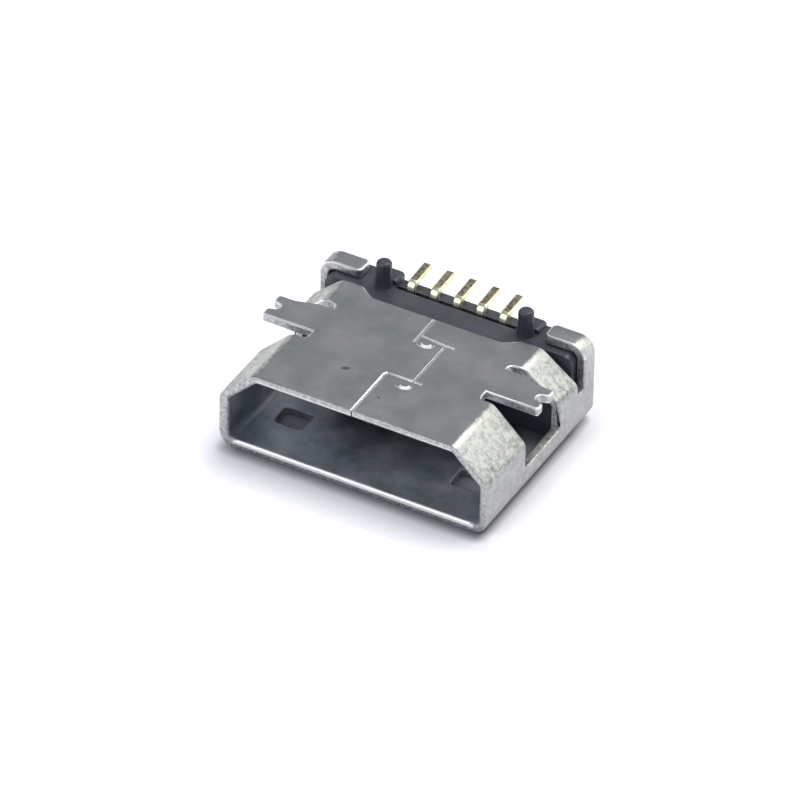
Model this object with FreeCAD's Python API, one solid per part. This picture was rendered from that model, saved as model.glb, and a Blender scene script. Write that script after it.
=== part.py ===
import FreeCAD, Part
import math
import os

# Micro-B socket for a circuit board, lying on its wide face with the board side up.
# Millimetres. X runs across the mouth, Y from the mouth to the tails, Z from the wide face up.

# Shell: one folded strip of nickel-plated steel
sheet = 0.25
shell_width = 7.5
shell_height = 2.45
shell_depth = 5.58
chamfer_run = 0.93
chamfer_drop = 0.90
floor_bend = 0.45
chamfer_bend = 0.32
mouth_lead_in = 0.07
floor_setback = 0.35

# Rear edge of the board face, between the two feet
rear_opening = 1.32
lobe_reach = 0.29
lobe_start = 1.83
lobe_ramp = 0.40
lobe_corner = 0.16

# Seam where the two ends of the strip interlock
seam_gap = 0.04
seam_offset = 0.05
tab_front = 1.76
tab_length = 1.72
tab_taper = 0.07
tab_reach = 0.69
tab_relief = 0.23
root_relief = 0.28
tab_corner = 0.12
stake_radius = 0.23
stake_width = 0.11
stake_depth = 0.10
stake_sweep = 145
stake_inset = 0.12
stake_gap = 0.16
stake_shift = 0.34

# Windows under the soldering ears, and the forked ears bent out of them
window_front = 2.00
window_length = 1.80
window_sill = 0.77
window_corner = 0.15
window_slant = 0.28
ear_inset = 0.38
ear_overhang = 0.12
front_slit = 0.32
root_slit = 0.15
slit_round = 0.12
prong_setback = 0.60
prong_round = 0.09
fork_width = 0.34
fork_depth = 0.26
flare_run = 0.60

# Windows in the wide face for the two latches of the plug
latch_spacing = 4.95
latch_width = 0.80
latch_length = 0.68
latch_front = 1.18
latch_corner = 0.12

# Rear feet: the side walls rise and fold inwards over the housing
foot_length = 0.53
foot_cap = 1.17
foot_bend = 0.42
foot_corner = 0.14
slit_width = 0.33
slit_end = 1.20

# Housing: one black moulding
seat_gap = 0.02
block_length = 1.58
housing_overhang = 0.14
shoulder_gap = 0.10
shoulder_round = 0.25
deck_drop = 0.10
groove_drop = 0.22
groove_width = 0.22
ledge_setback = 0.39

# Tongue inside the mouth
tongue_width = 3.70
tongue_thickness = 0.62
tongue_lift = 0.33
tongue_tip = 1.95
tongue_bevel = 0.12

# Pegs that drop into the board, each with a block behind it
peg_spacing = 4.0
peg_diameter = 0.40
peg_root_diameter = 0.48
peg_height = 0.46
peg_setback = 0.40
peg_round = 0.16
stop_width = 0.60
stop_length = 0.42
stop_height = 0.13
stop_round = 0.10

# Five contacts
contact_pitch = 0.65
contact_width = 0.24
contact_thickness = 0.15
contact_bend = 0.10
contact_proud = 0.02
contact_gap = 0.01
blade_setback = 0.25
blade_nose = 0.10
leg_setback = 0.33
tail_length = 0.48
tail_dip = 0.05
contact_names = ["contact_power", "contact_data_minus", "contact_data_plus", "contact_id", "contact_ground"]

# Places that follow from the sizes above
half_width = shell_width / 2
board_half = half_width - chamfer_run
side_height = shell_height - chamfer_drop
board_face_back = shell_depth - rear_opening
lobe_back = board_face_back + lobe_reach
foot_front = shell_depth - foot_length
flange_back = foot_front - slit_width
window_back = window_front + window_length
ear_front = window_front + front_slit
ear_back = window_back - prong_setback
window_root_back = window_back - window_slant
ear_root_back = window_root_back - root_slit
ear_root = board_half - ear_inset
ear_tip = half_width + ear_overhang
housing_back = shell_depth + housing_overhang
housing_front = shell_depth - block_length
housing_top = shell_height - sheet - seat_gap
ledge_back = shell_depth - ledge_setback
deck_top = housing_top - deck_drop
stop_top = housing_top + stop_height
peg_y = shell_depth - peg_setback
tongue_bottom = sheet + tongue_lift
tongue_top = tongue_bottom + tongue_thickness
blade_top = tongue_top + contact_proud
blade_tip = tongue_tip + blade_setback
leg_front = shell_depth - leg_setback
overall_depth = housing_back + tail_length
beyond = shell_width

UP = FreeCAD.Vector(0, 0, 1)
ACROSS = FreeCAD.Vector(1, 0, 0)
BACK = FreeCAD.Vector(0, 1, 0)
ORIGIN = FreeCAD.Vector(0, 0, 0)


def section(x, z):
    """A point of a cross section that is pushed along Y."""
    return FreeCAD.Vector(x, 0, z)


def profile(y, z):
    """A point of a side view that is pushed along X."""
    return FreeCAD.Vector(0, y, z)


def plan(x, y):
    """A point of an outline seen from the board side."""
    return FreeCAD.Vector(x, y, 0)


def corner_arc(before, corner, after, radius):
    """The tangent arc that rounds a corner, or None where the corner is sharp or straight."""
    towards_before = (before - corner).normalize()
    towards_after = (after - corner).normalize()
    half_angle = towards_before.getAngle(towards_after) / 2
    straight = abs(half_angle - math.pi / 2) < math.radians(1)
    if radius <= 0 or straight:
        return None
    room = min((before - corner).Length, (after - corner).Length) / 2
    reach = min(radius / math.tan(half_angle), room)
    bisector = (towards_before + towards_after).normalize()
    true_radius = reach * math.tan(half_angle)
    middle = corner + bisector * (true_radius / math.sin(half_angle) - true_radius)
    return Part.Arc(corner + towards_before * reach, middle, corner + towards_after * reach)


def rounded_edges(points, radii, closed):
    """Straight runs joined by tangent arcs. radii holds one value for each point."""
    count = len(points)
    edges = []
    cursor = None
    first = None
    for i, corner in enumerate(points):
        inner = closed or 0 < i < count - 1
        arc = corner_arc(points[i - 1], corner, points[(i + 1) % count], radii[i]) if inner else None
        entry = arc.StartPoint if arc else corner
        leave = arc.EndPoint if arc else corner
        if cursor is not None and (entry - cursor).Length > 1e-7:
            edges.append(Part.LineSegment(cursor, entry).toShape())
        if arc:
            edges.append(arc.toShape())
        first = entry if first is None else first
        cursor = leave
    if closed and (first - cursor).Length > 1e-7:
        edges.append(Part.LineSegment(cursor, first).toShape())
    return edges


def rounded_face(points, radii):
    """A flat face with rounded corners. radii is one value, or one for each point."""
    radii = radii if isinstance(radii, list) else [radii] * len(points)
    return Part.Face(Part.Wire(rounded_edges(points, radii, True)))


def offset_line(points, distance, normal, closed=False):
    """The same line moved sideways, to the left of its direction seen against the normal."""
    count = len(points)
    moved = []
    for i, point in enumerate(points):
        sides = []
        if closed or i > 0:
            sides.append(normal.cross(point - points[i - 1]).normalize())
        if closed or i < count - 1:
            sides.append(normal.cross(points[(i + 1) % count] - point).normalize())
        miter = sides[0] + sides[-1]
        scale = 2 * distance / miter.dot(miter)
        moved.append(point + miter * scale)
    return moved


def is_left_turn(before, corner, after, normal):
    """Whether a line turns to its left at a corner, seen against the normal."""
    return (corner - before).cross(after - corner).dot(normal) > 0


def folded_strip(points, inner_bend, thickness, normal):
    """Face of a bent sheet, between its line and the same line one thickness to the left."""
    outer_bend = inner_bend + thickness
    corners = zip(points, points[1:], points[2:])
    left_turns = [is_left_turn(before, corner, after, normal) for before, corner, after in corners]
    line_bends = [0] + [outer_bend if left else inner_bend for left in left_turns] + [0]
    other_bends = [0] + [inner_bend if left else outer_bend for left in left_turns] + [0]
    other_line = offset_line(points, thickness, normal)
    edges = rounded_edges(points, line_bends, False) + rounded_edges(other_line, other_bends, False)
    for end, other_end in [(points[0], other_line[0]), (points[-1], other_line[-1])]:
        edges.append(Part.LineSegment(end, other_end).toShape())
    return Part.Face(Part.Wire(Part.__sortEdges__(edges)))


def push(face, start, length, direction):
    """A solid pushed from a flat face that is first moved to its start."""
    moved = face.copy()
    moved.translate(direction * start)
    return moved.extrude(direction * length)


def both_sides(shape):
    """A shape of the right half with its mirror image on the left."""
    return [shape, shape.mirror(ORIGIN, ACROSS)]


def shell_section(inset):
    """Closed section of the folded tube, moved inwards by an inset."""
    corners = [
        section(-half_width, 0),
        section(half_width, 0),
        section(half_width, side_height),
        section(board_half, shell_height),
        section(-board_half, shell_height),
        section(-half_width, side_height),
    ]
    bends = [floor_bend, floor_bend] + [chamfer_bend] * 4
    moved = offset_line(corners, inset, -BACK, True)
    return rounded_face(moved, [max(bend - inset, 0) for bend in bends])


def shell_tube():
    """The strip folded into a tube, with a lead-in round the inside of the mouth."""
    tube = push(shell_section(0), 0, shell_depth, BACK)
    bore = push(shell_section(sheet), 0, shell_depth, BACK)
    wide_mouth = shell_section(sheet - mouth_lead_in).OuterWire
    bore_mouth = shell_section(sheet).OuterWire
    bore_mouth.translate(BACK * mouth_lead_in)
    lead_in = Part.makeLoft([wide_mouth, bore_mouth], True, True)
    return tube.cut([bore, lead_in])


def rear_cut():
    """What is cut away behind the board face and its two lobes, down to the end of the foot slits."""
    half = [
        plan(lobe_start, board_face_back),
        plan(lobe_start + lobe_ramp, lobe_back),
        plan(board_half, lobe_back),
        plan(half_width, flange_back),
        plan(half_width + sheet, flange_back),
        plan(half_width + sheet, beyond),
    ]
    half_radii = [lobe_ramp, lobe_corner, lobe_corner, 0, 0, 0]
    other = [plan(-point.x, point.y) for point in reversed(half)]
    outline = rounded_face(half + other, half_radii + list(reversed(half_radii)))
    return push(outline, slit_end, beyond, UP)


def floor_cut():
    """The wide face ends short of the side walls' rear edge."""
    floor_half = half_width - floor_bend
    floor_back = shell_depth - floor_setback
    corners = [
        plan(-floor_half, floor_back),
        plan(floor_half, floor_back),
        plan(floor_half, beyond),
        plan(-floor_half, beyond),
    ]
    return push(rounded_face(corners, [floor_setback / 2, floor_setback / 2, 0, 0]), -sheet, 3 * sheet, UP)


def foot():
    """One rear foot: the wall rises past the chamfer and folds inwards into a cap."""
    reach = half_width - foot_cap
    line = [
        section(half_width, slit_end / 2),
        section(half_width, shell_height),
        section(reach, shell_height),
    ]
    strip = push(folded_strip(line, foot_bend - sheet, sheet, -BACK), foot_front, foot_length, BACK)
    corners = [
        plan(reach, foot_front),
        plan(half_width + sheet, foot_front),
        plan(half_width + sheet, shell_depth),
        plan(reach, shell_depth),
    ]
    trim = push(rounded_face(corners, [foot_corner, 0, 0, foot_corner]), 0, beyond, UP)
    return strip.common(trim)


def ear_window():
    """Opening left in the side wall, the chamfer and the edge of the board face."""
    side_view = [
        profile(window_front, window_sill),
        profile(window_back, window_sill),
        profile(window_back, beyond),
        profile(window_front, beyond),
    ]
    board_view = [
        plan(ear_root, window_front),
        plan(half_width, window_front),
        plan(beyond, window_front),
        plan(beyond, window_back),
        plan(half_width, window_back),
        plan(ear_root, window_root_back),
    ]
    through_side = push(rounded_face(side_view, [window_corner, window_corner, 0, 0]), 0, beyond, ACROSS)
    slit_ends = [slit_round, 0, 0, 0, 0, slit_round]
    return through_side.common(push(rounded_face(board_view, slit_ends), 0, beyond, UP))


def ear():
    """Forked soldering ear, flat in the plane of the board face."""
    fork_middle = (ear_front + ear_back) / 2
    neck = ear_tip - fork_depth
    corners = [
        plan(ear_root - sheet, ear_front),
        plan(ear_tip, ear_front),
        plan(ear_tip, fork_middle - fork_width / 2),
        plan(neck, fork_middle - fork_width / 4),
        plan(neck, fork_middle + fork_width / 4),
        plan(ear_tip, fork_middle + fork_width / 2),
        plan(ear_tip, ear_back),
        plan(ear_root + ear_inset + flare_run, ear_back),
        plan(ear_root + ear_inset, ear_root_back),
        plan(ear_root - sheet, ear_root_back),
    ]
    radii = [0, prong_round, prong_round, prong_round, prong_round, prong_round, prong_round]
    radii += [flare_run, flare_run / 2, 0]
    return push(rounded_face(corners, radii), shell_height - sheet, sheet, UP)


def latch_window():
    """Opening in the wide face that one latch of the plug springs into."""
    near = (latch_spacing - latch_width) / 2
    far = (latch_spacing + latch_width) / 2
    corners = [
        plan(near, latch_front),
        plan(far, latch_front),
        plan(far, latch_front + latch_length),
        plan(near, latch_front + latch_length),
    ]
    return push(rounded_face(corners, latch_corner), -sheet, 3 * sheet, UP)


def seam_slit(points, radii):
    """A thin cut through the board face along a line with rounded corners."""
    right = offset_line(points, -seam_gap / 2, UP)
    left = offset_line(points, seam_gap / 2, UP)
    face = rounded_face(right + list(reversed(left)), radii + list(reversed(radii)))
    return push(face, shell_height - 2 * sheet, 3 * sheet, UP)


def seam_cuts():
    """The interlocking seam: a long slit round a tapered tab, and a short relief at three corners."""
    tab_back = tab_front + tab_length
    front_corner = plan(tab_reach, tab_front)
    back_corner = plan(tab_reach, tab_back - tab_taper)
    root_corner = plan(-seam_offset, tab_back)
    line = [
        plan(-seam_offset, -sheet),
        plan(-seam_offset, tab_front),
        front_corner,
        back_corner,
        root_corner,
        plan(-seam_offset, lobe_back),
    ]
    main_slit = seam_slit(line, [0, tab_corner, 0, 0, 0, 0])
    reliefs = [(front_corner, ACROSS * tab_relief), (back_corner, ACROSS * tab_relief)]
    reliefs.append((root_corner, BACK * -root_relief))
    return [main_slit] + [seam_slit([corner, corner + run], [0, 0]) for corner, run in reliefs]


def stake_marks():
    """Two crescent grooves with a sloping inner wall, punched in front of the tab's sides to lock it."""
    inner = stake_radius - stake_width
    corners = [
        section(stake_radius, shell_height - stake_depth),
        section(stake_radius, shell_height + sheet),
        section(inner, shell_height + sheet),
        section(inner, shell_height),
    ]
    groove = rounded_face(corners, 0).revolve(ORIGIN, UP, -stake_sweep)
    front_x = tab_reach - stake_inset
    tab_back = tab_front + tab_length
    marks = []
    for x, side_y in [(front_x, tab_front), (front_x - stake_shift, tab_back)]:
        mark = groove.copy()
        mark.translate(plan(x, side_y - stake_gap))
        marks.append(mark)
    return marks


def shell():
    """The whole folded shell with its ears and feet."""
    cuts = [rear_cut(), floor_cut()] + both_sides(ear_window()) + both_sides(latch_window())
    body = shell_tube().cut(cuts)
    body = body.fuse(both_sides(ear()) + both_sides(foot())).removeSplitter()
    return body.cut(seam_cuts() + stake_marks())


def housing_block():
    """Block that plugs the rear of the shell, with square shoulders under the feet."""
    core = push(shell_section(sheet + seat_gap), housing_front, housing_back - housing_front, BACK)
    half = half_width - sheet - seat_gap
    bottom = sheet + seat_gap
    corners = [
        section(-half, bottom),
        section(half, bottom),
        section(half, housing_top),
        section(-half, housing_top),
    ]
    bottom_round = max(floor_bend - sheet - seat_gap, 0)
    face = rounded_face(corners, [bottom_round, bottom_round, shoulder_round, shoulder_round])
    shoulder_front = flange_back + shoulder_gap
    return core.fuse(push(face, shoulder_front, housing_back - shoulder_front, BACK)).removeSplitter()


def tongue():
    """Tongue that the plug slides over, bevelled at its tip."""
    corners = [
        profile(tongue_tip, tongue_bottom + tongue_bevel),
        profile(tongue_tip + tongue_bevel, tongue_bottom),
        profile(housing_front + sheet, tongue_bottom),
        profile(housing_front + sheet, tongue_top),
        profile(tongue_tip + tongue_bevel, tongue_top),
        profile(tongue_tip, tongue_top - tongue_bevel),
    ]
    return push(rounded_face(corners, 0), -tongue_width / 2, tongue_width, ACROSS)


def deck_cut():
    """Lower deck between the pegs that the tails pass over, with a groove along its front."""
    half = (peg_spacing - stop_width) / 2
    deck = Part.makeBox(2 * half, beyond, beyond, FreeCAD.Vector(-half, ledge_back, deck_top))
    groove_corner = FreeCAD.Vector(-half, ledge_back, deck_top - groove_drop)
    groove = Part.makeBox(2 * half, groove_width, beyond, groove_corner)
    return deck.fuse(groove)


def peg(x):
    """Locating peg, turned about its own axis: a flared root, then a shank with a rounded tip."""
    radius = peg_diameter / 2
    root_radius = peg_root_diameter / 2
    tip = shell_height + peg_height
    corners = [
        section(0, tongue_top),
        section(root_radius, tongue_top),
        section(root_radius, housing_top),
        section(radius, shell_height),
        section(radius, tip),
        section(0, tip),
    ]
    turned = rounded_face(corners, [0, 0, 0, 0, peg_round, 0]).revolve(ORIGIN, UP, 360)
    turned.translate(plan(x, peg_y))
    return turned


def stop(x):
    """Block behind a peg, up to the rear face, with rounded upper edges."""
    half = stop_width / 2
    corners = [
        section(x - half, tongue_top),
        section(x + half, tongue_top),
        section(x + half, stop_top),
        section(x - half, stop_top),
    ]
    face = rounded_face(corners, [0, 0, stop_round, stop_round])
    return push(face, housing_back - stop_length, stop_length, BACK)


def contact_line():
    """Upper line of a contact in side view, from the blade's nose to the square-cut tip of the tail."""
    tail_slope = math.atan2(tail_dip, overall_depth - leg_front)
    tail_tip = overall_depth - contact_thickness * math.sin(tail_slope)
    return [
        profile(blade_tip, blade_top - blade_nose),
        profile(blade_tip + blade_nose, blade_top),
        profile(leg_front, blade_top),
        profile(leg_front, shell_height - tail_dip),
        profile(tail_tip, shell_height),
    ]


def contact(x, width):
    """One stamped contact: blade on the tongue, leg up through the housing, and tail out over the board."""
    face = folded_strip(contact_line(), contact_bend, contact_thickness, -ACROSS)
    return push(face, x - width / 2, width, ACROSS)


def contact_room(x):
    """The channel that the housing is moulded with round one contact: its own shape, a little wider."""
    return contact(x, contact_width + 2 * contact_gap)


def housing(contact_places):
    """The whole moulding, with a channel for every contact."""
    solid = housing_block().cut(deck_cut())
    peg_places = [-peg_spacing / 2, peg_spacing / 2]
    solid = solid.fuse([tongue()] + [peg(x) for x in peg_places] + [stop(x) for x in peg_places])
    solid = solid.cut([contact_room(x) for x in contact_places])
    return solid.removeSplitter()


def save(shape, name):
    """Moves a finished piece so that the middle of the part's footprint is the origin, and writes it."""
    placed = shape.copy()
    placed.translate(BACK * (-overall_depth / 2))
    solids = placed.Solids
    single = solids[0] if len(solids) == 1 else placed
    print(name, "solids", len(solids), "volume", round(placed.Volume, 4), "valid", placed.isValid())
    single.exportStep("parts/" + name + ".step")


os.makedirs("parts", exist_ok=True)
middle = (len(contact_names) - 1) / 2
places = [(i - middle) * contact_pitch for i in range(len(contact_names))]
save(shell(), "shell")
save(housing(places), "housing")
for place, contact_name in zip(places, contact_names):
    save(contact(place, contact_width), contact_name)
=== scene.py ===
import math
import bmesh
import bpy
from mathutils import Matrix, Vector


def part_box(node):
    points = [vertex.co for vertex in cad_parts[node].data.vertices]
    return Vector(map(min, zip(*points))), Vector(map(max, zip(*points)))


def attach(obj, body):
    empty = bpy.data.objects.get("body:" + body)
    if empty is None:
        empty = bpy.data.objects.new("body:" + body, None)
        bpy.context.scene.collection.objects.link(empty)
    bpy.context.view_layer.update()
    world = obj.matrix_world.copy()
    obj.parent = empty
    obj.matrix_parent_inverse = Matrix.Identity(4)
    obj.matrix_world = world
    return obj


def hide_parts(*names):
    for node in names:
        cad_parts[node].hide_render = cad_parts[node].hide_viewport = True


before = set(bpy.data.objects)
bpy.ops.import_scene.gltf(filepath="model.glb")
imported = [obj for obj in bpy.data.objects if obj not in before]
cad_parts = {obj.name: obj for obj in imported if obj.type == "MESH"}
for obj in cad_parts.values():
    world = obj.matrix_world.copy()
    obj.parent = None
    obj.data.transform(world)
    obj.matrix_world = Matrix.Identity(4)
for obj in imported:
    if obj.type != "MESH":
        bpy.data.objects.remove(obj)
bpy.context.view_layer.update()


# Housing: one piece of black liquid-crystal polymer, moulded round the contacts in a spark-eroded tool and
# held in the rear of the shell. It carries the tongue, the ledge under the tails, the pegs and their blocks.
MM = 0.001


def merged_copy(node, name):
    """A copy of a CAD node's mesh with its loose triangles joined and its flat faces made whole."""
    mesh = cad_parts[node].data.copy()
    mesh.name = name
    piece = bpy.data.objects.new(name, mesh)
    bpy.context.scene.collection.objects.link(piece)
    work = bmesh.new()
    work.from_mesh(mesh)
    same_place = 0.0002 * MM
    bmesh.ops.remove_doubles(work, verts=work.verts, dist=same_place)
    flat_angle = math.radians(0.4)
    bmesh.ops.dissolve_limit(work, angle_limit=flat_angle, verts=work.verts, edges=work.edges)
    work.to_mesh(mesh)
    work.free()
    return piece


def bake_modifiers(piece):
    """Turns a piece with its modifiers into a plain mesh."""
    graph = bpy.context.evaluated_depsgraph_get()
    finished = bpy.data.meshes.new_from_object(piece.evaluated_get(graph))
    finished.name = piece.name
    piece.modifiers.clear()
    piece.data = finished


def soften_edges(piece, width, segments, edge_slot=-1, edge_share=None):
    """Rounds the sharp edges by a share of the width, and gives the narrow new faces their material slot."""
    crease = math.radians(28)
    work = bmesh.new()
    work.from_mesh(piece.data)
    weight = work.edges.layers.float.new("bevel_weight_edge")
    for edge in work.edges:
        creased = edge.is_manifold and edge.calc_face_angle() > crease
        share = edge_share(edge) if edge_share and creased else 1.0
        edge[weight] = share if creased else 0.0
    work.to_mesh(piece.data)
    work.free()
    bevel = piece.modifiers.new("rounded_edges", "BEVEL")
    bevel.width = width
    bevel.segments = segments
    bevel.limit_method = "WEIGHT"
    bevel.use_clamp_overlap = edge_share is None
    bevel.miter_outer = "MITER_ARC"
    bevel.material = edge_slot
    bake_modifiers(piece)
    piece.data.shade_smooth()
    piece.data.set_sharp_from_angle(angle=crease)
    even = piece.modifiers.new("flat_faces_stay_flat", "WEIGHTED_NORMAL")
    even.mode = "FACE_AREA_WITH_ANGLE"
    even.keep_sharp = True
    bake_modifiers(piece)


def linear(hex_colour):
    """Linear RGBA of an sRGB hex colour."""
    parts = [int(hex_colour[i:i + 2], 16) / 255 for i in (1, 3, 5)]
    return tuple(c / 12.92 if c <= 0.04045 else ((c + 0.055) / 1.055) ** 2.4 for c in parts) + (1.0,)


def new_material(name):
    """A new material with its node tree and its surface shader."""
    material = bpy.data.materials.new(name)
    material.use_nodes = True
    tree = material.node_tree
    return material, tree, tree.nodes["Principled BSDF"]


def set_inputs(tree, node, inputs):
    """Gives each input of a node its value, or links it to another node's output."""
    for socket, value in dict(inputs).items():
        if isinstance(value, bpy.types.NodeSocket):
            tree.links.new(value, node.inputs[socket])
        else:
            node.inputs[socket].default_value = value


def add_node(tree, kind, inputs=(), stops=(), **settings):
    """Adds one node with its settings and inputs. A colour ramp also gets its stops' places and colours."""
    added = tree.nodes.new(kind)
    for name, value in settings.items():
        setattr(added, name, value)
    for index, (position, colour) in enumerate(stops):
        added.color_ramp.elements[index].position = position
        added.color_ramp.elements[index].color = linear(colour)
    set_inputs(tree, added, inputs)
    return added


def millimetres(tree, stretch=(1, 1, 1)):
    """Object coordinates in millimetres, so that a noise's Scale counts its spots in one millimetre."""
    place = add_node(tree, "ShaderNodeTexCoord").outputs["Object"]
    scale = [factor / MM for factor in stretch]
    return add_node(tree, "ShaderNodeMapping", {"Vector": place, "Scale": scale}).outputs["Vector"]


def moulded_polymer():
    """Liquid-crystal polymer from an eroded mould: matt, faintly blue and grained, with paler flow marks."""
    material, tree, surface = new_material("moulded_polymer")
    place = millimetres(tree)
    # Flow marks are about 0.6 mm across
    flow = add_node(tree, "ShaderNodeTexNoise", {"Vector": place, "Scale": 1.6, "Detail": 5.0})
    colours = add_node(tree, "ShaderNodeValToRGB", {"Fac": flow.outputs["Fac"]}, stops=[
        (0.35, "#32363E"), (0.68, "#3F424D")])
    # Eroded grain is about 0.01 mm across, drawn at 0.05 mm so that it shows
    grain = add_node(tree, "ShaderNodeTexNoise", {
        "Vector": place, "Scale": 18.0, "Detail": 3.0}).outputs["Fac"]
    gloss = add_node(tree, "ShaderNodeMapRange", {"Value": grain, "To Min": 0.34, "To Max": 0.50})
    relief = add_node(tree, "ShaderNodeBump", {"Height": grain, "Strength": 0.35, "Distance": 0.012 * MM})
    set_inputs(tree, surface, {
        "Base Color": colours.outputs["Color"],
        "Roughness": gloss.outputs["Result"],
        "Normal": relief.outputs["Normal"],
        "IOR": 1.6})
    return material


housing = merged_copy("housing", "housing_moulding")
housing.data.materials.clear()
housing.data.materials.append(moulded_polymer())
moulded_rounding = 0.022 * MM
soften_edges(housing, moulded_rounding, segments=2)
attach(housing, "root")
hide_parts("housing")


# Contacts: five strips of copper alloy, stamped, bent and gold-flashed, with the housing moulded round them.
# The blades lie on the tongue, the legs stand in the housing and the tails reach out over the board.
def flashed_alloy(name, dark, light, patches):
    """Thin gold over nickel on drawn copper alloy: a soft metal shine, streaked and unevenly coloured."""
    material, tree, surface = new_material(name)
    place = millimetres(tree)
    wear = add_node(tree, "ShaderNodeTexNoise", {"Vector": place, "Scale": patches, "Detail": 6.0})
    colours = add_node(tree, "ShaderNodeValToRGB", {"Fac": wear.outputs["Fac"]}, stops=[
        (0.36, dark), (0.62, light)])
    # Drawing marks run along the strip, under 0.01 mm wide, drawn at 0.03 mm so that they show
    along = millimetres(tree, (30, 1.5, 1.5))
    drawn = add_node(tree, "ShaderNodeTexNoise", {
        "Vector": along, "Scale": 1.0, "Detail": 3.0}).outputs["Fac"]
    gloss = add_node(tree, "ShaderNodeMapRange", {"Value": drawn, "To Min": 0.2, "To Max": 0.38})
    relief = add_node(tree, "ShaderNodeBump", {"Height": drawn, "Strength": 0.2, "Distance": 0.006 * MM})
    set_inputs(tree, surface, {
        "Base Color": colours.outputs["Color"],
        "Roughness": gloss.outputs["Result"],
        "Normal": relief.outputs["Normal"],
        "Metallic": 1.0})
    return material


def contact_row_tree(metal, shaded_metal_on_flats):
    """Copies a contact to an evenly spaced row along X, with a second metal on the upper flats, its
    painted-shade copy.
    """
    tree = bpy.data.node_groups.new("contact_row", "GeometryNodeTree")
    tree.interface.new_socket("Geometry", in_out="INPUT", socket_type="NodeSocketGeometry")
    count = tree.interface.new_socket("Count", in_out="INPUT", socket_type="NodeSocketInt")
    pitch = tree.interface.new_socket("Pitch", in_out="INPUT", socket_type="NodeSocketFloat")
    tree.interface.new_socket("Geometry", in_out="OUTPUT", socket_type="NodeSocketGeometry")
    given = add_node(tree, "NodeGroupInput").outputs
    offset = add_node(tree, "ShaderNodeCombineXYZ", {"X": given["Pitch"]})
    line = add_node(tree, "GeometryNodeMeshLine", {
        "Count": given["Count"], "Offset": offset.outputs["Vector"]})
    row = add_node(tree, "GeometryNodeInstanceOnPoints", {
        "Points": line.outputs["Mesh"], "Instance": given["Geometry"]})
    real = add_node(tree, "GeometryNodeRealizeInstances", {"Geometry": row.outputs["Instances"]})
    painted = add_node(tree, "GeometryNodeSetMaterial", {
        "Geometry": real.outputs["Geometry"], "Material": metal})
    facing = add_node(tree, "ShaderNodeSeparateXYZ", {
        "Vector": add_node(tree, "GeometryNodeInputNormal").outputs["Normal"]})
    # The flats facing up get the darker copy of the metal, painted shade
    nearly_up = 0.97
    is_flat = add_node(tree, "ShaderNodeMath", {
        0: facing.outputs["Z"], 1: nearly_up}, operation="GREATER_THAN")
    finished = add_node(tree, "GeometryNodeSetMaterial", {
        "Geometry": painted.outputs["Geometry"],
        "Selection": is_flat.outputs["Value"],
        "Material": shaded_metal_on_flats})
    add_node(tree, "NodeGroupOutput", {"Geometry": finished.outputs["Geometry"]})
    return tree, count.identifier, pitch.identifier


contact_nodes = ["contact_power", "contact_data_minus", "contact_data_plus", "contact_id", "contact_ground"]
first_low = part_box(contact_nodes[0])[0]
last_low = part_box(contact_nodes[-1])[0]
contact_pitch = (last_low.x - first_low.x) / (len(contact_nodes) - 1)
contacts = merged_copy(contact_nodes[0], "contacts")
contacts.data.materials.clear()
stamped_rounding = 0.045 * MM
soften_edges(contacts, stamped_rounding, segments=3)
# The sheared sides get a pale yellow gold, painted paler than clean gold as a painted highlight
gold_painted_pale = flashed_alloy("gold_painted_pale", "#E4E0B0", "#F8F7DC", patches=3.5)
# On the upper flats the gold is worn and stained in spots of 0.1 mm, and painted a duller brown as painted
# shade
gold_stained_and_shaded = flashed_alloy("gold_stained_and_shaded", "#6A5D54", "#BDB098", patches=11.0)
row_tree, count_input, pitch_input = contact_row_tree(gold_painted_pale, gold_stained_and_shaded)
repeat = contacts.modifiers.new("contact_row", "NODES")
repeat.node_group = row_tree
repeat[count_input] = len(contact_nodes)
repeat[pitch_input] = contact_pitch
bake_modifiers(contacts)
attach(contacts, "root")
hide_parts(*contact_nodes)


# Shell: one strip of steel sheet, blanked, folded to a tube round the housing and nickel-plated.
# Its rolled faces are satin and a little mottled, its bent edges, lead-in, sides and slanting corners are
# rubbed bright and partly painted lighter as painted highlight, its seam locks are painted white as a
# painted highlight, and the plating stays thin and dull inside the mouth.
shell = merged_copy("shell", "shell_sheet")
shell_low, shell_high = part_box("shell")
sheet = 0.25 * MM
tube_middle = (shell_low.z + shell_high.z) / 2
seam_reach = 1.2 * MM
seam_low = shell_high.z - 2.5 * sheet
plain_slot, burnish_highlight_slot, inside_slot, sheared_slot, lock_highlight_slot = range(5)
# The places of a colour Mix node's inputs, and of its result among the outputs
MIX_SHARE, MIX_UNDER, MIX_OVER, MIX_RESULT = 0, 6, 7, 2


def dark_mark(tree, colour, place, size, tilt, mark_colour):
    """Lays a small soft oval mark over a colour, as handling leaves on plating."""
    spot = add_node(tree, "ShaderNodeMapping", {
        "Vector": add_node(tree, "ShaderNodeTexCoord").outputs["Object"],
        "Location": [value * MM for value in place],
        "Rotation": (0, 0, tilt),
        "Scale": [value * MM for value in size]}, vector_type="TEXTURE")
    ball = add_node(tree, "ShaderNodeTexGradient", {
        "Vector": spot.outputs["Vector"]}, gradient_type="SPHERICAL")
    amount = add_node(tree, "ShaderNodeMapRange", {
        "Value": ball.outputs["Fac"], "From Max": 0.6, "To Max": 0.7}, interpolation_type="SMOOTHSTEP")
    marked = add_node(tree, "ShaderNodeMix", {
        MIX_SHARE: amount.outputs["Result"],
        MIX_UNDER: colour,
        MIX_OVER: linear(mark_colour)}, data_type="RGBA")
    return marked.outputs[MIX_RESULT]


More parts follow.
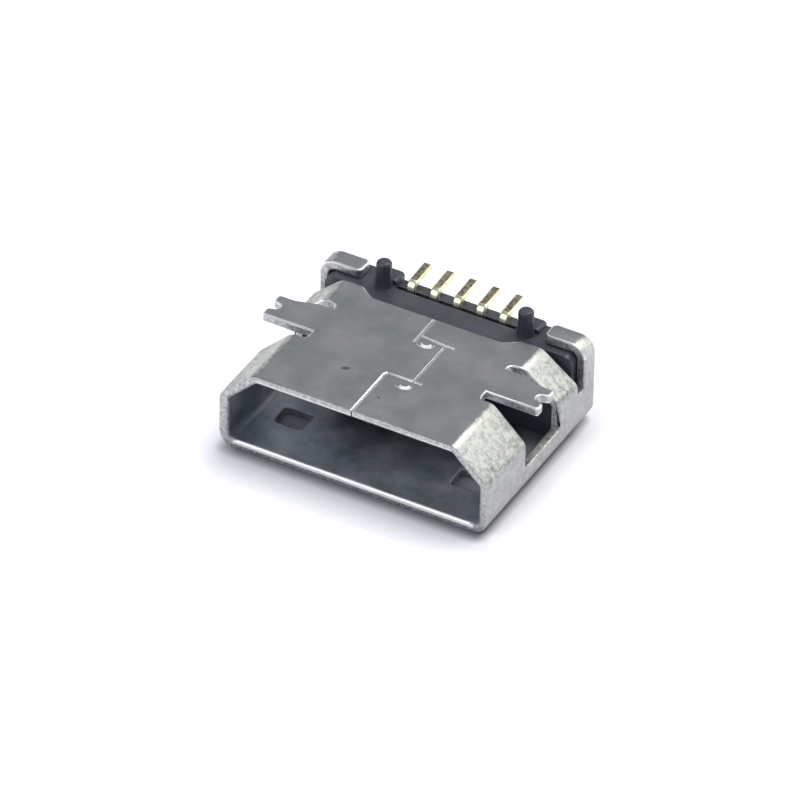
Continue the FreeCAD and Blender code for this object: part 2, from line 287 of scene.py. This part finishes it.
def rub_and_light_sides(tree, place, colour, dark, light, side):
    """Paints the slanting corners and the sides lighter than the top: partly their rubbing on neighbours in
    the plating barrel, partly painted highlight.
    """
    facing = add_node(tree, "ShaderNodeSeparateXYZ", {
        "Vector": add_node(tree, "ShaderNodeTexCoord").outputs["Normal"]}).outputs
    across = add_node(tree, "ShaderNodeMath", {0: facing["X"]}, operation="ABSOLUTE").outputs["Value"]
    # Speckle of about 0.17 mm, with finer spots in it
    speckle = add_node(tree, "ShaderNodeTexNoise", {
        "Vector": place, "Scale": 6.0, "Detail": 8.0, "Roughness": 0.85}).outputs["Fac"]
    # The speckle breaks up the line where the rubbing starts
    ragged = add_node(tree, "ShaderNodeMath", {0: speckle, 1: 1.3, 2: across}, operation="MULTIPLY_ADD")
    rubbed_share = add_node(tree, "ShaderNodeMapRange", {
        "Value": ragged.outputs["Value"], "From Min": 0.80, "From Max": 1.00}).outputs["Result"]
    # The slanting corners are painted lighter the nearer they lie to the fold at the board face, a painted
    # highlight
    height = add_node(tree, "ShaderNodeSeparateXYZ", {"Vector": place}).outputs["Z"]
    fold_highlight = add_node(tree, "ShaderNodeMapRange", {
        "Value": height, "From Min": 1.5, "From Max": 2.45, "To Min": -0.03, "To Max": 0.08})
    wear = add_node(tree, "ShaderNodeMath", {0: speckle, 1: fold_highlight.outputs["Result"]}, operation="ADD")
    corner_colours = add_node(tree, "ShaderNodeValToRGB", {"Fac": wear.outputs["Value"]}, stops=[
        (0.36, dark), (0.58, light)])
    # The upright sides are rubbed evenly, so their speckle is weak
    upright = add_node(tree, "ShaderNodeMapRange", {
        "Value": facing["Z"], "From Max": 0.5, "To Min": 0.65, "To Max": 0.0})
    rubbed_colours = add_node(tree, "ShaderNodeMix", {
        MIX_SHARE: upright.outputs["Result"],
        MIX_UNDER: corner_colours.outputs["Color"],
        MIX_OVER: linear(side)}, data_type="RGBA")
    mixed = add_node(tree, "ShaderNodeMix", {
        MIX_SHARE: rubbed_share,
        MIX_UNDER: colour,
        MIX_OVER: rubbed_colours.outputs[MIX_RESULT]}, data_type="RGBA")
    return mixed.outputs[MIX_RESULT], rubbed_share


def plated_steel(name, dark, light, roughness, grain_depth, patches=1.1, rubbed=None, marks=()):
    """Nickel plate on rolled steel, tumbled in a barrel: satin, in cloudy patches and with a fine grain."""
    material, tree, surface = new_material(name)
    place = millimetres(tree)
    # The clouds are about 0.9 mm across, unless the patches are given
    clouds = add_node(tree, "ShaderNodeTexNoise", {
        "Vector": place, "Scale": patches, "Detail": 8.0, "Roughness": 0.62}).outputs["Fac"]
    colour = add_node(tree, "ShaderNodeValToRGB", {"Fac": clouds}, stops=[
        (0.34, dark), (0.66, light)]).outputs["Color"]
    gloss = add_node(tree, "ShaderNodeMapRange", {
        "Value": clouds, "From Min": 0.3, "From Max": 0.7,
        "To Min": roughness[0], "To Max": roughness[1]}).outputs["Result"]
    # Tumbling leaves a grain of about 0.08 mm. Rolling left marks from mouth to rear, about 0.01 mm wide,
    # drawn at 0.07 mm so that they show
    grain = add_node(tree, "ShaderNodeTexNoise", {"Vector": place, "Scale": 12.0, "Detail": 3.0})
    along = millimetres(tree, (14, 0.9, 14))
    rolled = add_node(tree, "ShaderNodeTexNoise", {"Vector": along, "Scale": 1.0, "Detail": 4.0})
    texture = add_node(tree, "ShaderNodeMath", {
        0: rolled.outputs["Fac"], 1: 0.2, 2: grain.outputs["Fac"]}, operation="MULTIPLY_ADD")
    strength = 0.35
    if rubbed:
        colour, rubbed_share = rub_and_light_sides(tree, place, colour, *rubbed)
        # Rubbing roughens the plating and deepens its grain
        gloss = add_node(tree, "ShaderNodeMath", {
            0: rubbed_share, 1: 0.14, 2: gloss}, operation="MULTIPLY_ADD").outputs["Value"]
        strength = add_node(tree, "ShaderNodeMapRange", {
            "Value": rubbed_share, "To Min": strength, "To Max": 0.7}).outputs["Result"]
    relief = add_node(tree, "ShaderNodeBump", {
        "Height": texture.outputs["Value"], "Strength": strength, "Distance": grain_depth})
    for mark in marks:
        colour = dark_mark(tree, colour, *mark)
    set_inputs(tree, surface, {
        "Base Color": colour,
        "Roughness": gloss,
        "Normal": relief.outputs["Normal"],
        "Metallic": 1.0})
    return material


def sort_faces(piece):
    """Gives the locks, the lead-in, the sheet's cut edges, its inner and its outer faces their finishes."""
    middle_line_half = 2.3 * MM
    for face in piece.data.polygons:
        centre = face.center
        # The tube's middle line runs across it, and each face is seen from its nearest point there
        nearest = max(-middle_line_half, min(middle_line_half, centre.x))
        inward = Vector((nearest, centre.y, tube_middle)) - centre
        facing_in = inward.normalized().dot(face.normal)
        is_lock = 0.5 < face.normal.z < 0.9 and abs(centre.x) < seam_reach
        is_lead_in = -0.9 < face.normal.y < -0.5
        is_cut = abs(facing_in) < 0.68
        if is_lock:
            face.material_index = lock_highlight_slot
        # The lead-in gets the near-white edge finish, a painted highlight
        elif is_lead_in and abs(face.normal.x) < 0.3:
            face.material_index = burnish_highlight_slot
        elif is_lead_in or is_cut:
            face.material_index = sheared_slot
        else:
            face.material_index = inside_slot if facing_in > 0 else plain_slot


def press_seam_shut(piece, push):
    """Moves the seam's upright walls towards each other, so that the two ends of the strip nearly touch."""
    work = bmesh.new()
    work.from_mesh(piece.data)
    moves = []
    for corner in work.verts:
        walls = []
        for face in corner.link_faces:
            in_seam = max(abs(end.co.x) for end in face.verts) < seam_reach and corner.co.z > seam_low
            upright = abs(face.normal.z) < 0.01
            # Faces of one wall point the same way, and it counts once
            new_way = all(face.normal.dot(known) < 0.999 for known in walls)
            if in_seam and upright and new_way:
                walls.append(face.normal.copy())
        if len(walls) == 1:
            moves.append((corner, walls[0] * push))
        elif len(walls) == 2 and walls[0].dot(walls[1]) > -0.9:
            miter = walls[0] + walls[1]
            moves.append((corner, miter * (push / (1 + walls[0].dot(walls[1])))))
    for corner, move in moves:
        corner.co += move
    work.to_mesh(piece.data)
    work.free()


def rounding_share(edge):
    """The share of rounding for an edge: none at inner and small seam corners, and less round the mouth."""
    if not edge.is_convex:
        return 0.0
    near, far = [corner.co for corner in edge.verts]
    at_mouth = max(near.y, far.y) < shell_low.y + 0.01 * MM
    if at_mouth:
        outer = any(abs(face.normal.y) < 0.01 for face in edge.link_faces)
        return 0.45 if outer else 1.0
    by_seam = max(abs(near.x), abs(far.x)) < seam_reach and min(near.z, far.z) > seam_low
    if not by_seam:
        return 1.0
    upright = abs(near.z - far.z) > 0.5 * (near - far).length
    shallow = edge.calc_face_angle() < math.radians(60)
    groove_end = any(len(face.verts) == 3 for face in edge.link_faces)
    return 0.0 if upright or shallow or groove_end else 1.0


def sort_rounded_edges(piece):
    """Takes the bright finish, burnish with painted highlight, off the rounded edges that nothing rubs, and
    leaves it on the others.
    """
    side_start = 3.60 * MM
    side_top = 2.10 * MM
    for face in piece.data.polygons:
        if face.material_index != burnish_highlight_slot:
            continue
        centre = face.center
        on_rim = centre.y < shell_low.y + sheet and face.normal.y < -0.3
        outward = face.normal.x * centre.x + face.normal.z * (centre.z - tube_middle) > 0
        on_side = abs(centre.x) > side_start and centre.z < side_top
        facing_rear = face.normal.y > 0.35
        in_wide_face = centre.z < 1.5 * sheet
        if facing_rear or on_side or on_rim and outward:
            face.material_index = plain_slot
        elif on_rim and abs(face.normal.x) > 0.05:
            face.material_index = sheared_slot
        elif in_wide_face and not on_rim:
            face.material_index = inside_slot


# Each handling mark: its place and size in millimetres, its turn and its colour
board_face_marks = [
    ((-0.99, -1.69, 2.45), (0.17, 0.08, 0.10), math.radians(28), "#3E403E"),
    ((0.27, -2.31, 2.45), (0.07, 0.06, 0.10), 0, "#5A5B58"),
]
# The outside, rolled and then tumbled: a cloudy satin grey, speckled brighter on the slanting corners; its
# lighter sides, corners and fold are partly painted highlight
rolled_steel = plated_steel(
    "rolled_nickel_steel", "#939995", "#A7A6A8", (0.32, 0.42), 0.010 * MM,
    rubbed=("#82847D", "#DBDDD4", "#B8B8BB"), marks=board_face_marks)
# Folded and outer edges, burnished in the barrel and painted near-white as a painted highlight: thin lines
# that catch the light
edge_burnish_and_highlight = plated_steel("edge_burnish_and_highlight", "#EFEFEC", "#F8F8F6", (0.32, 0.42), 0.004 * MM)
# Inside the tube, where the plating is thin and nothing rubs it: dull, rough and faintly blue
inner_plate = plated_steel("dull_inner_plate", "#9DA5B0", "#CFD3D9", (0.54, 0.64), 0.006 * MM)
# Cut edges, partly sheared and partly torn by the press: light and dark spots of 0.1 mm
sheared_edge = plated_steel("sheared_edge", "#929392", "#DCDDDE", (0.40, 0.55), 0.016 * MM, patches=10.0)
# The seam's locks, pressed by a punch: smooth slopes painted white as a painted highlight, so that they look
# evenly white
lock_white_highlight = plated_steel("lock_white_highlight", "#F6F6F6", "#FFFFFF", (0.60, 0.66), 0.002 * MM)
shell.data.materials.clear()
for finish in (rolled_steel, edge_burnish_and_highlight, inner_plate, sheared_edge, lock_white_highlight):
    shell.data.materials.append(finish)
sort_faces(shell)
seam_push = 0.013 * MM
press_seam_shut(shell, seam_push)
folded_rounding = 0.045 * MM
soften_edges(shell, folded_rounding, segments=2, edge_slot=burnish_highlight_slot, edge_share=rounding_share)
sort_rounded_edges(shell)
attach(shell, "root")
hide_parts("shell")


# Floor and light: a white card in a dim room, painted darker under the part as a painted contact shadow, and
# lifted to clean white away from it.
# A broad lamp overhead casts the soft shadow. A low one stands behind on the right and one in front, and a
# weak card behind on the left.
def beyond(tree, middle, half_size, stretch):
    """How far outside a rectangle on the floor a place lies, in millimetres times the stretch."""
    reach = millimetres(tree)
    nothing = (0, 0, 0)
    steps = [
        ("SUBTRACT", middle), ("ABSOLUTE", nothing), ("SUBTRACT", half_size), ("MAXIMUM", nothing),
        ("MULTIPLY", stretch)]
    for operation, value in steps:
        step = add_node(tree, "ShaderNodeVectorMath", {0: reach, 1: value}, operation=operation)
        reach = step.outputs["Vector"]
    return add_node(tree, "ShaderNodeVectorMath", {0: reach}, operation="LENGTH").outputs["Value"]


def white_card():
    """Matt white card with a painted contact shadow: darker where the part lies on it, and seen as clean
    white beyond the part's shadow.
    """
    material, tree, surface = new_material("white_card")
    print_middle = (0.0, -0.5, 0)
    print_half = (3.48, 2.62, 0)
    # Painted contact shadow: the card's colour darkens under and close round the part
    contact = add_node(tree, "ShaderNodeMapRange", {
        "Value": beyond(tree, print_middle, print_half, (1, 1, 0)), "From Min": 0.06, "From Max": 0.38})
    painted_shadow_tone = add_node(tree, "ShaderNodeValToRGB", {"Fac": contact.outputs["Result"]}, stops=[
        (0.0, "#8C8E94"), (1.0, "#EFEFF4")])
    # The shadow fades out in less room across than along, so the distance across counts twice
    shadow_middle = (0.3, -0.8, 0)
    shadow_half = (3.5, 2.35, 0)
    fade = add_node(tree, "ShaderNodeMapRange", {
        "Value": beyond(tree, shadow_middle, shadow_half, (2, 1, 0)), "From Max": 1.4, "To Max": 0.31})
    path = add_node(tree, "ShaderNodeLightPath").outputs
    seen = add_node(tree, "ShaderNodeMath", {
        0: path["Is Camera Ray"], 1: path["Is Glossy Ray"]}, operation="MAXIMUM")
    lift = add_node(tree, "ShaderNodeMath", {
        0: fade.outputs["Result"], 1: seen.outputs["Value"]}, operation="MULTIPLY")
    set_inputs(tree, surface, {
        "Base Color": painted_shadow_tone.outputs["Color"],
        "Roughness": 0.9,
        "Emission Color": linear("#FFFFFF"),
        "Emission Strength": lift.outputs["Value"]})
    return material


floor_half = 400 * MM
floor_corners = [(x * floor_half, y * floor_half, 0) for x, y in ((-1, -1), (1, -1), (1, 1), (-1, 1))]
floor_mesh = bpy.data.meshes.new("floor")
floor_mesh.from_pydata(floor_corners, [], [(0, 1, 2, 3)])
floor = bpy.data.objects.new("floor", floor_mesh)
floor.data.materials.append(white_card())
bpy.context.scene.collection.objects.link(floor)

# The room's walls light the part dimly and a little blue, and the camera sees them white
wall_light = (0.22, 0.24, 0.29, 1.0)
world = bpy.data.worlds.new("soft_room")
bpy.context.scene.world = world
world.use_nodes = True
room = world.node_tree
walls = add_node(room, "ShaderNodeMix", {
    MIX_SHARE: add_node(room, "ShaderNodeLightPath").outputs["Is Camera Ray"],
    MIX_UNDER: wall_light,
    MIX_OVER: linear("#FFFFFF")}, data_type="RGBA")
set_inputs(room, room.nodes["Background"], {"Color": walls.outputs[MIX_RESULT], "Strength": 1.0})


def soft_lamp(name, direction, size, radiance, colour="#FFFFFF"):
    """A square lamp that faces the part from a direction, as bright as a white card lit to its radiance."""
    lamp_distance = 300 * MM
    lamp = bpy.data.lights.new(name, "AREA")
    lamp.shape = "SQUARE"
    lamp.size = size
    lamp.energy = radiance * math.pi * size * size
    lamp.color = linear(colour)[:3]
    holder = bpy.data.objects.new(name, lamp)
    aim = Vector(direction).normalized()
    holder.location = aim * lamp_distance
    holder.rotation_mode = "QUATERNION"
    holder.rotation_quaternion = aim.to_track_quat("Z", "Y")
    bpy.context.scene.collection.objects.link(holder)


soft_lamp("overhead_softbox", (0.26, 0.32, 1.0), 180 * MM, 4.8, "#FFFCF6")
soft_lamp("right_softbox", (0.54, 0.71, 0.42), 240 * MM, 1.2)
soft_lamp("front_softbox", (-0.37, -0.61, 0.70), 220 * MM, 2.3)
soft_lamp("rear_card", (-0.37, 0.70, 0.61), 300 * MM, 0.34)


# Camera: a long lens above the mouth's right-hand corner, turned a little, as in the photograph. Its angles,
# distance and scale were solved from the mouth's outline, the row of contacts and the pegs.
azimuth = math.radians(28.114)
elevation = math.radians(37.763)
roll = math.radians(1.208)
distance = 246.56 * MM
frame_pixels = 800
pixels_per_mm = 40.591
view_width = frame_pixels / pixels_per_mm * MM
back = Vector((
    math.sin(azimuth) * math.cos(elevation),
    -math.cos(azimuth) * math.cos(elevation),
    math.sin(elevation)))
level_right = Vector((math.cos(azimuth), math.sin(azimuth), 0))
level_up = back.cross(level_right)
right = level_right * math.cos(roll) + level_up * math.sin(roll)
up = level_up * math.cos(roll) - level_right * math.sin(roll)
part_middle = Vector((0, -0.6 * MM, 1.2 * MM))
shift_left = 0.040 * MM
shift_down = 0.067 * MM
target = part_middle - level_right * shift_left - level_up * shift_down
camera_data = bpy.data.cameras.new("camera")
camera_data.sensor_width = 36
camera_data.lens = camera_data.sensor_width * distance / view_width
camera_data.clip_start = distance / 10
camera_data.clip_end = distance * 100
camera = bpy.data.objects.new("camera", camera_data)
turn = Matrix((right, up, back)).transposed().to_4x4()
camera.matrix_world = Matrix.Translation(target + back * distance) @ turn
bpy.context.scene.collection.objects.link(camera)
bpy.context.scene.camera = camera
bpy.context.scene.view_settings.view_transform = "Standard"
